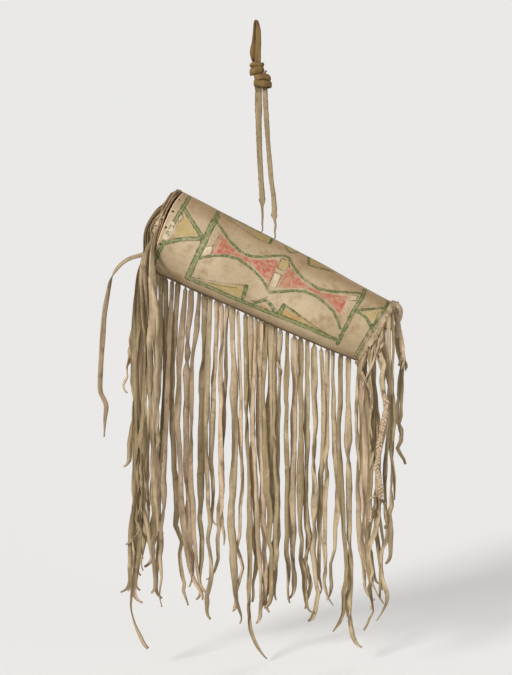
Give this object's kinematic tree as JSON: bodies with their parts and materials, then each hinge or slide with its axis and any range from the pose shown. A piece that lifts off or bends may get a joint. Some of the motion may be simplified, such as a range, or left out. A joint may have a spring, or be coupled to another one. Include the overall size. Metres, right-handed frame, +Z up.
{
  "type": "parfleche case",
  "caption": "Tapered tube case of painted rolled rawhide with a thong-hinged lid, long hide fringe along its seam and rims, hung tilted from a knotted hide strap.",
  "frame": {"origin": "the point inside the top of the hanging loop that rests on a peg", "axes": "+Z up as it hangs, +X to the right along the painted face, +Y away from the painted face"},
  "size_m": [0.5035, 0.1466, 1.0206],
  "materials": {
    "rawhide": "dry, mottled, painted in green, red and ochre",
    "soft_hide": "matt soft-tanned hide",
    "thong": "matt hide thong",
    "brown_thong": "handled brown hide thong"
  },
  "bodies": {
    "case": {"rawhide_tube": "rawhide", "end_disc": "rawhide", "end_lacing": "thong", "seam_fringe": "soft_hide", "rim_fringe": "soft_hide", "end_fringe": "soft_hide", "lid_hinge_thong_front": "thong", "lid_hinge_thong_back": "thong", "lid_tie_thong": "thong", "strap_left": "thong", "strap_right": "thong", "stopper_knot_left": "thong", "stopper_knot_right": "thong", "hanging_loop": "brown_thong", "loop_wrap": "brown_thong", "strap_knot": "brown_thong"},
    "lid": {"lid": "rawhide", "lid_fringe": "soft_hide"}
  },
  "joints": [
    {"name": "lid_hinge", "type": "hinge", "parent": "case", "child": "lid", "pos_m": [-0.16458, 0, -0.39882], "axis": [0, -1, 0], "range_deg": [0, 100]}
  ]
}
